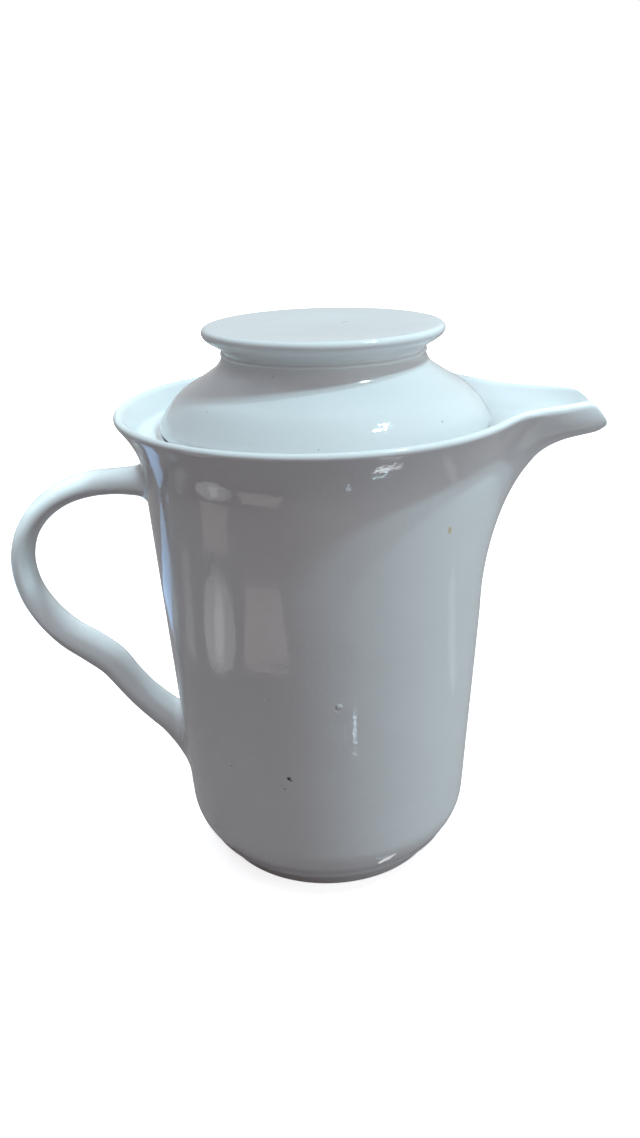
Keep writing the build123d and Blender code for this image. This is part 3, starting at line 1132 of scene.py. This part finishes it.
def clay_material(name):
    """The bare ground clay of the foot: pale and gritty, with painted shade at its top in the groove
    under the body, and grimy where it is worn below.
    """
    clay = bpy.context.scene.jug_colours.clay
    material, tree, shader, place = new_material(name)
    height = add(tree, "SeparateXYZ", Vector=place).outputs[2]
    grit = noise(tree, place, scale=1600.0, detail=3.0, roughness=0.7)
    cloud = noise(tree, place, scale=60.0, detail=3.0, roughness=0.6)
    # Darker clay: for the grime below and for the painted shade at the top
    dark = tuple(0.45 * channel for channel in clay)
    pale = tuple(min(1.0, 1.08 * channel) for channel in clay)
    worn = spread_out(tree, height, 0.2 * MM, 1.5 * MM, 1.0, 0.0)
    grime = calc(tree, "MULTIPLY", spread_out(tree, cloud, 0.45, 0.65, 0.0, 0.5), worn)
    # Painted shade: the clay darkens towards the foot's top, where it meets the body
    painted_groove_shade = spread_out(tree, height, FOOT_TOP - 1.6 * MM, FOOT_TOP, 0.0, 0.6)
    grain = blend(tree, spread_out(tree, grit, 0.35, 0.7), clay, pale)
    paint = blend(tree, painted_groove_shade, blend(tree, grime, grain, dark), dark)
    pits = shared_node(tree, "glaze_faults", Vector=place, Scale=500.0, Few=0.8).outputs["Mask"]
    rise = calc(tree, "SUBTRACT", grit, calc(tree, "MULTIPLY", pits, 0.8))
    bump = add(tree, "Bump", Strength=0.5, Distance=0.2 * MM, Height=rise)
    roughness = spread_out(tree, cloud, 0.3, 0.7, 0.3, 0.5)
    feed(tree, shader, Base_Color=paint, Roughness=roughness, Normal=bump.outputs[0])
    return material


# Width of the camera's sensor, in millimetres
SENSOR_WIDTH = 36

# Middle of the jug, which the lamps look at
MIDDLE = Vector((0, 0, 0.11))

# Lamps of the key light: how far each is moved aside and up, and its share of the power
KEY_LAMPS = [(-0.14, 0.01, 0.28), (-0.03, 0.06, 0.3), (0.1, -0.03, 0.42)]
KEY_SIZE = 0.05

# Broad soft lamps: name, place from the jug's middle, size, property with the power, and tint
FILLS = [
    ("side_fill", (1.5, -0.35, 0.2), 0.5, "side_power", (0.8, 0.93, 1.0)),
    ("front_fill", (-0.2, -1.0, 1.23), 0.8, "front_power", (0.99, 0.96, 1.0)),
    ("sky_fill", (-0.69, -0.15, 1.5), 0.7, "sky_power", (0.7, 0.86, 1.0)),
    ("back_fill", (-0.35, 1.7, 0.35), 0.9, "back_power", (0.95, 0.98, 1.0)),
]

# Narrow soft lamps on the lip's inside and on the handle: place, target, power, spread in degrees
NARROW = [
    ((0.06, -0.36, 0.62), (0.094, 0.012, 0.166), 0.0095, 9.0),
    ((-0.26, 0.35, 0.95), (-0.1, 0.0, 0.105), 0.024, 9.5),
    ((-0.27, -0.38, 0.95), (-0.102, 0.0, 0.146), 0.0085, 5.5),
]
NARROW_SIZE = 0.06
NARROW_TINT = (0.7, 0.93, 1.0)

# Panels that lie face up on the floor, out of the camera's sight, and show in the
# gloss alone: place, size, turn in degrees, power, tint and shape
PANELS = [
    ((-0.222, -0.085, 0.003), (0.112, 0.106), 33.0, 0.034, (0.95, 1.0, 1.0), "ELLIPSE"),
    ((-0.216, -0.085, 0.004), (0.07, 0.03), 33.0, 0.006, (1.0, 1.0, 0.97), "ELLIPSE"),
    ((-0.14, -0.19, 0.003), (0.105, 0.085), -37.5, 0.029, (1.0, 0.87, 0.82), "RECTANGLE"),
    ((-0.37, -0.165, 0.002), (0.16, 0.12), 28.0, 0.044, (1.0, 0.88, 0.72), "RECTANGLE"),
    ((0.0265, -0.0475, 0.001), (0.011, 0.0035), 0.0, 0.0003, (1.0, 1.0, 1.0), "ELLIPSE"),
    ((0.045, -0.1435, 0.003), (0.03, 0.004), 110.0, 0.0028, (0.68, 0.84, 1.0), "ELLIPSE"),
    ((-0.31, 0.17, 0.003), (0.3, 0.08), 0.0, 0.1, (0.32, 0.6, 1.0), "RECTANGLE"),
    ((-0.26, 0.03, 0.003), (0.14, 0.04), 0.0, 0.006, (0.85, 1.0, 0.95), "RECTANGLE"),
    ((0.225, 0.008, 0.003), (0.15, 0.03), -5.0, 0.005, (1.0, 0.96, 0.9), "ELLIPSE"),
]

# A tilted panel whose narrow beam shows under the rim: place, target, size, power and tint
GLINT = ((0.078, -0.071, 0.003), (0.018, -0.064, 0.166), (0.062, 0.011), 0.0003, (0.9, 0.96, 1.0))
GLINT_TURN = 41.0
GLINT_SPREAD = 30.0

# The world: its colour low down and overhead, what it takes on towards the right,
# and how much of the white backdrop the gloss sees
WORLD_LOW = (0.06, 0.046, 0.046)
WORLD_HIGH = (0.11, 0.096, 0.096)
WORLD_RIGHT = (0.44, 0.41, 0.42)
WORLD_RIGHT_SHARE = 0.46
BACKDROP_IN_GLOSS = 0.5

# The floor: its glow for the camera grows between two distances, so that it is
# white far out and keeps the jug's shadow near it; glass and gloss see less of it
FLOOR_SIZE = 6
GLOW_NEAR, GLOW_FAR = 0.3, 1.3
GLOW_LOW, GLOW_HIGH = 0.76, 1.0
GLOSSY_GLOW = 0.04
GLASS_GLOW = 0.62


def area_light(name, place, target, size, power, tint, shape="RECTANGLE", spread=180.0, turn=0.0):
    """A soft lamp that looks at a target, turned round its own axis."""
    data = bpy.data.lights.new(name, "AREA")
    data.shape = shape
    data.size, data.size_y = size
    data.energy = power
    data.color = tint
    data.spread = radians(spread)
    lamp = bpy.data.objects.new(name, data)
    bpy.context.scene.collection.objects.link(lamp)
    lamp.location = place
    lamp.rotation_euler = (Vector(target) - Vector(place)).to_track_quat("-Z", "Y").to_euler()
    lamp.rotation_euler.rotate_axis("Z", radians(turn))
    lamp.visible_camera = False
    return lamp


def light_up(stage):
    """Sets up every lamp."""
    turn, height = stage.key_turn, stage.key_height
    key = Vector((cos(turn) * cos(height), sin(turn) * cos(height), sin(height)))
    aside = Vector((-sin(turn), cos(turn), 0))
    up = aside.cross(key)
    for i, (shift, rise, share) in enumerate(KEY_LAMPS):
        place = MIDDLE + key * stage.key_distance + aside * shift + up * rise
        size = (KEY_SIZE, KEY_SIZE)
        area_light(f"key_{i}", place, MIDDLE, size, stage.key_power * share, stage.key_tint)
    for name, offset, size, power_name, tint in FILLS:
        place = MIDDLE + Vector(offset)
        lamp = area_light(name, place, MIDDLE, (size, size), getattr(stage, power_name), tint)
        lamp.visible_glossy = False
    for i, (place, target, watts, spread) in enumerate(NARROW):
        size = (NARROW_SIZE, NARROW_SIZE)
        lamp = area_light(f"narrow_{i}", place, target, size, watts, NARROW_TINT, spread=spread)
        lamp.visible_glossy = False
    for i, (place, size, turn, watts, tint, shape) in enumerate(PANELS):
        above = (*place[:2], 1)
        lamp = area_light(f"panel_{i}", place, above, size, watts, tint, shape, turn=180.0 - turn)
        lamp.visible_diffuse = False
    glint = area_light("glint", *GLINT, "ELLIPSE", GLINT_SPREAD, GLINT_TURN)
    glint.visible_diffuse = False


def set_camera(scene, stage):
    """Places the camera in front of the jug, tilted down and slightly rolled."""
    data = bpy.data.cameras.new("camera")
    data.lens = stage.camera_lens
    data.sensor_width = SENSOR_WIDTH
    camera = bpy.data.objects.new("camera", data)
    scene.collection.objects.link(camera)
    turn, pitch, roll = stage.camera_turn, stage.camera_pitch, stage.camera_roll
    ahead = Vector((sin(turn) * cos(pitch), cos(turn) * cos(pitch), -sin(pitch)))
    right = Vector((cos(turn), -sin(turn), 0))
    up = right.cross(ahead)
    right, up = cos(roll) * right + sin(roll) * up, cos(roll) * up - sin(roll) * right
    axes = Matrix((right, up, -ahead)).transposed()
    place = Matrix.Translation((0, -stage.camera_distance, stage.camera_height))
    camera.matrix_world = place @ axes.to_4x4()
    scene.camera = camera
    if camera.name not in scene.objects:
        raise RuntimeError("the camera isn't on the stage")


def studio_world():
    """Soft even light, a little stronger from above and the right, before a white backdrop."""
    world = bpy.data.worlds.new("studio")
    world.use_nodes = True
    tree = world.node_tree
    tree.nodes.clear()
    path = add(tree, "LightPath").outputs
    seen = calc(tree, "MULTIPLY", path["Is Glossy Ray"], BACKDROP_IN_GLOSS)
    seen = calc(tree, "MAXIMUM", seen, path["Is Camera Ray"])
    seen = calc(tree, "MAXIMUM", seen, path["Is Transmission Ray"])
    toward = add(tree, "TexCoord").outputs["Generated"]
    parts = add(tree, "SeparateXYZ", Vector=toward).outputs
    tint = blend(tree, spread_out(tree, parts["Z"], -0.2, 0.9), WORLD_LOW, WORLD_HIGH)
    right = spread_out(tree, parts["X"], -1.0, 1.0, 0.0, WORLD_RIGHT_SHARE)
    tint = blend(tree, right, tint, WORLD_RIGHT)
    soft = add(tree, "Background", Color=tint)
    white = add(tree, "Background", Color=(1, 1, 1, 1))
    mix = add(tree, "MixShader", i0=seen, i1=soft.outputs[0], i2=white.outputs[0])
    add(tree, "OutputWorld", Surface=mix.outputs[0])
    return world


def floor_material():
    """A plain pale floor that looks white to the camera and keeps the jug's shadow."""
    colours = bpy.context.scene.jug_colours
    material, tree, shader, place = new_material("floor")
    path = add(tree, "LightPath").outputs
    camera, gloss, glass = path["Is Camera Ray"], path["Is Glossy Ray"], path["Is Transmission Ray"]
    glow = spread_out(tree, vector_length(tree, place), GLOW_NEAR, GLOW_FAR, GLOW_LOW, GLOW_HIGH)
    glow = calc(tree, "MULTIPLY", camera, glow)
    glow = calc(tree, "ADD", glow, calc(tree, "MULTIPLY", gloss, GLOSSY_GLOW))
    glow = calc(tree, "ADD", glow, calc(tree, "MULTIPLY", glass, GLASS_GLOW))
    # Polished, but only as the jug's glaze mirrors it
    feed(
        tree, shader,
        Base_Color=blend(tree, camera, colours.table, colours.floor),
        Roughness=spread_out(tree, gloss, 0.0, 1.0, 0.9, 0.03),
        Specular_IOR_Level=calc(tree, "MULTIPLY", gloss, 0.5),
        IOR=4.0,
        Emission_Color=(1, 1, 1, 1),
        Emission_Strength=glow,
    )
    return material


class JUG_OT_stage(bpy.types.Operator):
    """Sets the floor, the light and the camera"""

    bl_idname = "jug.stage"
    bl_label = "Stage"

    def execute(self, context):
        scene = context.scene
        fresh_start()
        bpy.ops.mesh.primitive_plane_add(size=FLOOR_SIZE)
        floor = context.object
        floor.name = "floor"
        floor.data.materials.append(floor_material())
        scene.world = studio_world()
        light_up(scene.jug_stage)
        set_camera(scene, scene.jug_stage)
        scene.view_settings.view_transform = "Standard"
        return {"FINISHED"}


class JUG_PT_panel(bpy.types.Panel):
    """The jug's steps, in the sidebar"""

    bl_label = "Lidded Jug"
    bl_idname = "JUG_PT_panel"
    bl_space_type = "VIEW_3D"
    bl_region_type = "UI"
    bl_category = "Jug"

    def draw(self, context):
        for step in STEPS:
            self.layout.operator(step.bl_idname)


STEPS = (
    JUG_OT_pot,
    JUG_OT_foot,
    JUG_OT_handle,
    JUG_OT_dome,
    JUG_OT_collar,
    JUG_OT_knob,
    JUG_OT_stage,
)
GROUPS = {
    "jug_pot": JugPotSizes,
    "jug_handle": JugHandleSizes,
    "jug_lid": JugLidSizes,
    "jug_colours": JugColours,
    "jug_stage": JugStage,
}


def register():
    for group in GROUPS.values():
        bpy.utils.register_class(group)
    for name, group in GROUPS.items():
        setattr(bpy.types.Scene, name, PointerProperty(type=group))
    for step in STEPS:
        bpy.utils.register_class(step)
    bpy.utils.register_class(JUG_PT_panel)


def unregister():
    bpy.utils.unregister_class(JUG_PT_panel)
    for step in reversed(STEPS):
        bpy.utils.unregister_class(step)
    for name in GROUPS:
        delattr(bpy.types.Scene, name)
    for group in GROUPS.values():
        bpy.utils.unregister_class(group)


def main():
    register()
    bpy.ops.jug.pot()
    bpy.ops.jug.foot()
    bpy.ops.jug.handle()
    bpy.ops.jug.dome()
    bpy.ops.jug.collar()
    bpy.ops.jug.knob()
    bpy.ops.jug.stage()


if __name__ == "__main__":
    main()
